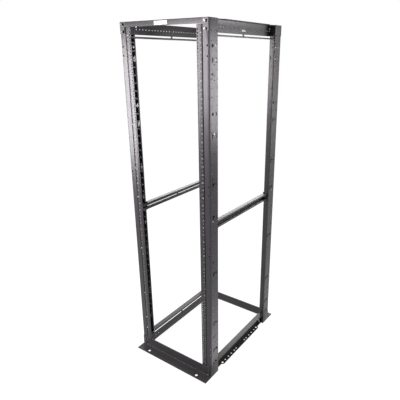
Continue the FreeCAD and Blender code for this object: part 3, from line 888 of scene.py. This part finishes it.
def build_bolt_tree():
    """Points with an outward direction in, hexagon bolts on washers out."""
    lengths = {"Head width": 15 * MM, "Head height": 5.3 * MM,
               "Washer width": 17 * MM, "Washer height": 1.6 * MM}
    tree, given = new_tree("bolt_set", "Points", lengths, "Bolts")
    width, height, washer_width, washer_height = [given.outputs[name] for name in lengths]
    washer = turned_part(tree, WASHER_SIDES, washer_width, washer_height, 0.0)
    head = turned_part(tree, HEAD_SIDES, width, height, washer_height)
    crown = turned_part(tree, CROWN_SIDES, math_node(tree, "MULTIPLY", width, CROWN_WIDTH),
                        math_node(tree, "MULTIPLY", height, CROWN_HEIGHT),
                        math_node(tree, "ADD", washer_height, height), CROWN_TAPER)

    outward = stored_value(tree, "outward", "FLOAT_VECTOR")
    aim = new_node(tree, "FunctionNodeAlignRotationToVector", {"Vector": outward}, axis="Z")
    turn = new_node(tree, "FunctionNodeRandomValue", {3: math.pi / 3, "Seed": TURN_SEED},
                    data_type="FLOAT")
    about = new_node(tree, "FunctionNodeAxisAngleToRotation",
                     {"Axis": (0, 0, 1), "Angle": turn.outputs[1]})
    both = new_node(tree, "FunctionNodeRotateRotation",
                    {"Rotation": aim.outputs["Rotation"], "Rotate By": about.outputs["Rotation"]},
                    rotation_space="LOCAL")
    return end_with_instances(tree, given, {"Instance": join_node(tree, (washer, head, crown)),
                                            "Rotation": both.outputs["Rotation"]})


bolt_tree = build_bolt_tree()
print("bolt tree", len(bolt_tree.nodes), "nodes")

# %% Places of the bolts
BASE_BOLTS = ((280 * MM, 48 * MM), (280 * MM, 15 * MM))
RAIL_BOLT_PLACE = 358 * MM
RAIL_BOLT_LEVELS = (rack_height - beam_height + BEAM_SLOT_LEVEL, MID_CENTRE,
                    beam_height - BEAM_SLOT_LEVEL)
TAB_BOLT = mid_low[0] + TAB_HOLE[0]
WEB_BOLT_DEPTH = 4 * MM


def bolt_mesh(spots, settings, finish):
    """Bolts of one size at (place, direction) spots."""
    points = bpy.data.meshes.new("bolt_points")
    points.from_pydata([place for place, way in spots], [], [])
    ways = points.attributes.new("outward", "FLOAT_VECTOR", "POINT")
    ways.data.foreach_set("vector", [part for place, way in spots for part in way])
    mesh = run_tree(bolt_tree, points, dict(settings, Finish=finish))
    mesh.shade_smooth()
    mesh.set_sharp_from_angle(angle=SMOOTH_ANGLE)
    return mesh


ear_bolts, frame_bolts, rail_bolts, rail_nuts, web_bolts = [], [], [], [], []
for corner, side, end in CORNERS:
    for across, level in EAR_BOLTS:
        ear_bolts.append(((side * across, end * bar_face, level), end * Y))
    for across, level in BASE_BOLTS:
        frame_bolts.append(((side * across, end * (half_depth + BASE_SHEET), level), end * Y))
    spot = (side * TAB_BOLT, end * (BAY_HALF - BEAM_SHEET), tab_centre + TAB_HOLE[1])
    frame_bolts.append((spot, -end * Y))
    for level in RAIL_BOLT_LEVELS:
        spot = end * RAIL_BOLT_PLACE
        rail_bolts.append(((side * (rail_wall - SHEET), spot, level), -side * X))
        rail_nuts.append(((side * (beam_face + BEAM_SHEET), spot, level), side * X))
    for place, level in ((BAR_BOLT_HOLES[0][0], BAR_BOLT_LEVEL),
                         (WEB_PAIRS[1], rack_height - PAIR_DROPS[0]),
                         (WEB_PAIRS[1], rack_height - WEB_SLOT_DROP)):
        spot = end * (half_depth - place)
        web_bolts.append(((side * (half_width - WEB_BOLT_DEPTH), spot, level), side * X))
small = {"Head width": 12 * MM, "Head height": 4 * MM,
         "Washer width": 15 * MM, "Washer height": 1.4 * MM}
inset = {"Head width": 10 * MM, "Head height": 2.2 * MM,
         "Washer width": 11.4 * MM, "Washer height": 0.4 * MM}
for title, spots, settings in (("rail_bolts", rail_bolts, small), ("rail_nuts", rail_nuts, small),
                               ("web_bolts", web_bolts, inset)):
    add_piece(title, bolt_mesh(spots, settings, zinc))
for title, spots, settings in (("ear_bolts", ear_bolts, {}), ("frame_bolts", frame_bolts, small)):
    add_piece(title, bolt_mesh(spots, settings, black_bolt))

# %% [markdown]
# ## Tapped collars
# The rail holes are pierced and drawn, so that each has a short collar behind it with enough steel
# for a thread. One small ring is set behind every hole of a rail by the next tree. A ring has only
# ten sides, because there are more than five hundred of them.

# %% A tree that sets collars behind the rail holes
COLLAR_WALL = 1.2 * MM
COLLAR_DEPTH = 1.8 * MM


def build_collar_tree():
    """Points in, rings of square section about the depth axis out."""
    middle_radius = (UNIT_BORE + COLLAR_WALL) / 2
    lengths = {"Middle radius": middle_radius, "Wall": COLLAR_WALL, "Depth": COLLAR_DEPTH}
    tree, given = new_tree("tapped_collars", "Points", lengths, "Collars")
    path = new_node(tree, "GeometryNodeCurvePrimitiveCircle",
                    {"Resolution": RAIL_HOLE_SIDES, "Radius": given.outputs["Middle radius"]})
    section = new_node(tree, "GeometryNodeCurvePrimitiveQuadrilateral",
                       {"Width": given.outputs["Wall"], "Height": given.outputs["Depth"]})
    ring = new_node(tree, "GeometryNodeCurveToMesh",
                    {"Curve": path.outputs["Curve"], "Profile Curve": section.outputs["Curve"]})
    upright = new_node(tree, "GeometryNodeTransform",
                       {"Geometry": ring.outputs["Mesh"], "Rotation": (math.pi / 2, 0, 0)})
    return end_with_instances(tree, given, {"Instance": upright.outputs["Geometry"]})


collar_tree = build_collar_tree()
print("collar tree", len(collar_tree.nodes), "nodes")
for corner, side, end in CORNERS:
    middle = end * (half_depth - SHEET - COLLAR_DEPTH / 2)
    points = bpy.data.meshes.new("collar_points")
    points.from_pydata([(side * HOLE_COLUMN, middle, level) for level in unit_levels], [], [])
    collars = run_tree(collar_tree, points, {"Finish": powder_coat})
    with editing(collars) as bm:
        bmesh.ops.recalc_face_normals(bm, faces=bm.faces[:])
    add_piece("tapped_collars_" + corner, collars)

# %% [markdown]
# ## Unit marks and plain plates
# Rails are screen printed with the number of each rack unit and a short line between units, so that
# equipment can be set level. The ten digits are made from text once, turned into meshes, and laid
# out as flat print just off the face of each rail. The front top bar has a plain pale plate and the
# right top beam a plain small label. Nothing is written on either.

# %% Digits
DIGIT_HEIGHT = 7.5 * MM
DIGIT_STEP = 5.4 * MM
FONT_CAP = 0.73


def digit_meshes():
    """Flat mesh of each digit, standing on the origin."""
    kept = {}
    for digit in "0123456789":
        letters = bpy.data.curves.new("digit_" + digit, "FONT")
        letters.body = digit
        letters.size = DIGIT_HEIGHT / FONT_CAP
        letters.resolution_u = 2
        letters.align_x = "CENTER"
        kept[digit] = worked_mesh(new_object("carrier", letters))
    return kept


digits = digit_meshes()
print("digits", {digit: len(mesh.polygons) for digit, mesh in digits.items()})

# %% Print on the rails
MARK_PLACE = 250.5 * MM
LINE_LENGTH = 8 * MM
LINE_HEIGHT = 0.9 * MM
PRINT_LIFT = 0.06 * MM


def print_mesh():
    """Numbers at the middle of the units and lines between them, about u = 0."""
    mesh = bpy.data.meshes.new("marks")
    with editing(mesh) as bm:
        for unit in range(UNIT_COUNT):
            level = UNIT_BASE + unit * UNIT
            number = str(unit + 1)
            for order, digit in enumerate(number):
                known = len(bm.verts)
                bm.from_mesh(digits[digit])
                bm.verts.ensure_lookup_table()
                shift = Vector(((order - (len(number) - 1) / 2) * DIGIT_STEP,
                                level + (UNIT - DIGIT_HEIGHT) / 2, 0))
                for vert in bm.verts[known:]:
                    vert.co += shift
            line = box_loop(-LINE_LENGTH / 2, LINE_LENGTH / 2,
                            level - LINE_HEIGHT / 2, level + LINE_HEIGHT / 2)
            bm.faces.new([bm.verts.new((u, v, 0)) for u, v in line])
    mesh.materials.append(print_white)
    return mesh


for corner, side, end in CORNERS:
    marks = print_mesh()
    spot = (side * MARK_PLACE, end * (half_depth + PRINT_LIFT), 0)
    marks.transform(place_matrix(spot, -end * X, Z, end * Y))
    add_piece("unit_marks_" + corner, marks)

# %% Plain label and plate
PLATE_SHEET = 0.9 * MM
PLATE_SPAN, PLATE_ROUND = (-46 * MM, 43 * MM), 2 * MM
PLATE_LEVELS = (rack_height - 23.5 * MM, rack_height - 5 * MM)
LABEL_SPAN, LABEL_ROUND = (-21 * MM, 19 * MM), 1 * MM
LABEL_LEVELS = (rack_height - 49.5 * MM, rack_height - 39.5 * MM)
CORNER_STEPS = 4


def rounded_loop(u_low, u_high, v_low, v_high, radius):
    """Rectangle with rounded corners."""
    left, right, low, high = u_low + radius, u_high - radius, v_low + radius, v_high - radius
    corners = []
    for start, (u, v) in enumerate(((right, high), (left, high), (left, low), (right, low))):
        for step in range(CORNER_STEPS + 1):
            angle = (start + step / CORNER_STEPS) * math.pi / 2
            corners.append((u + radius * math.cos(angle), v + radius * math.sin(angle)))
    return corners


plate_loop = rounded_loop(*PLATE_SPAN, *PLATE_LEVELS, PLATE_ROUND)
place = place_matrix((0, -bar_face - PLATE_SHEET, 0), X, Z, -Y)
plate = folded_sheet([plate_loop], [], [], place, PLATE_SHEET, finish=label_white)
add_piece("plain_plate_front", plate)
label_loop = rounded_loop(*LABEL_SPAN, *LABEL_LEVELS, LABEL_ROUND)
label_face = beam_face + BEAM_SHEET + PLATE_SHEET
place = place_matrix((label_face, 0, 0), Y, Z, X)
label = folded_sheet([label_loop], [], [], place, PLATE_SHEET, finish=label_white)
add_piece("plain_label_right", label)

# %% [markdown]
# ## Studio
# The rack stands on a white floor in a white room. Gloss and glass see the room as it is, and soft
# light reaches the matt colours at a plain level. Light Path gives those two their own strengths in
# the world and on the floor, where a little shadow is kept. Long soft boxes stand where the posts
# mirror them, because satin black shows its shape only by what it reflects. A grid on each box,
# its spread, keeps its light on the rack and off the floor that the lower posts mirror.

# %% World and floor
bpy.context.scene.view_settings.view_transform = "Standard"
ROOM_LIGHT = 0.40
FLOOR_GLOW = 0.94
FLOOR_BOUNCE = 0.22
FLOOR_HALF = 9


def seen_directly(tree):
    """1 for camera, glossy and transmission rays, 0 for diffuse ones."""
    path = tree.nodes.new("ShaderNodeLightPath")
    first = math_node(tree, "MAXIMUM", path.outputs["Is Camera Ray"], path.outputs["Is Glossy Ray"])
    return math_node(tree, "MAXIMUM", first, path.outputs["Is Transmission Ray"])


def build_floor_paint():
    """White floor that keeps a soft shadow."""
    material, tree, shader = new_material("white_floor")
    feed(tree, shader, {
        "Base Color": (FLOOR_BOUNCE, FLOOR_BOUNCE, FLOOR_BOUNCE, 1), "Roughness": 0.8,
        "Specular IOR Level": 0.0, "Emission Color": (1, 1, 1, 1),
        "Emission Strength": math_node(tree, "MULTIPLY", seen_directly(tree), FLOOR_GLOW)})
    return material


floor = bpy.data.meshes.new("studio_floor")
floor.from_pydata([(x * FLOOR_HALF, y * FLOOR_HALF, 0) for x, y in box_loop(-1, 1, -1, 1)],
                  [], [(0, 1, 2, 3)])
floor.materials.append(build_floor_paint())
new_object("studio_floor", floor)

world = bpy.data.worlds.new("studio")
bpy.context.scene.world = world
world.use_nodes = True
room = world.node_tree
feed(room, room.nodes["Background"],
     {"Color": (1, 1, 1, 1), "Strength": ranged(room, seen_directly(room), ROOM_LIGHT, 1.0)})
print("floor and world", floor.name, world.name)

# %% Soft boxes
BOX_SPREAD = 110


def soft_box(name, place, aim, size, radiance):
    """Rectangular lamp that faces a point, with its strength given by how bright its face is."""
    data = bpy.data.lights.new(name, "AREA")
    data.shape = "RECTANGLE"
    data.size, data.size_y = size
    data.spread = math.radians(BOX_SPREAD)
    data.energy = radiance * math.pi * size[0] * size[1]
    lamp = new_object(name, data)
    lamp.location = place
    lamp.rotation_euler = (Vector(aim) - Vector(place)).to_track_quat("-Z", "Y").to_euler()
    lamp.visible_camera = False


# Name, place, point it faces, size and brightness of each lamp
SOFT_BOXES = (
    ("side_box", (1.75, 1.70, 1.62), (0.30, -0.34, 1.57), (0.6, 1.04), 4.9),
    ("side_fill", (1.70, 2.60, 1.70), (-0.26, 0.0, 1.60), (0.9, 1.8), 0.15),
    ("front_box", (-1.32, -2.56, 1.93), (0.28, -0.38, 1.85), (0.60, 1.20), 9.8),
    ("left_box", (-2.26, -2.22, 1.40), (-0.28, -0.38, 1.50), (0.75, 1.40), 11.6),
    ("corner_box", (2.35, -1.90, 1.60), (0.0, -0.2, 1.3), (0.8, 1.4), 0.4),
    ("rear_box", (-1.75, 2.75, 2.35), (0.0, 0.0, 1.06), (2.4, 0.9), 2.0),
    ("floor_box_right", (0.51, 0.12, 0.01), (0.51, 0.12, 1.0), (0.3, 1.6), 3.0),
    ("floor_box_front", (-0.40, -0.68, 0.01), (-0.40, -0.68, 1.0), (0.7, 0.4), 0.9),
    ("floor_box_inner", (0.0, 0.0, 0.01), (0.0, 0.0, 1.0), (0.36, 0.6), 0.45),
)
for settings in SOFT_BOXES:
    soft_box(*settings)
print("soft boxes", [settings[0] for settings in SOFT_BOXES])

# %% [markdown]
# ## Camera
# The camera stands at the right front corner, a little below the top of the rack, and looks down.

# %% Camera
CAMERA_TURN = 34.45
CAMERA_DIP = 19.99
camera_data = bpy.data.cameras.new("camera")
camera_data.sensor_width = 36
camera_data.lens = 36.54
camera_data.shift_x = -0.0498
camera_data.shift_y = 0.006
camera = new_object("camera", camera_data)
camera.location = (1.524, -2.071, 1.966)
camera.rotation_euler = (math.radians(90 - CAMERA_DIP), 0, math.radians(CAMERA_TURN))
bpy.context.scene.camera = camera
print("camera", tuple(camera.location), "lens", camera_data.lens)
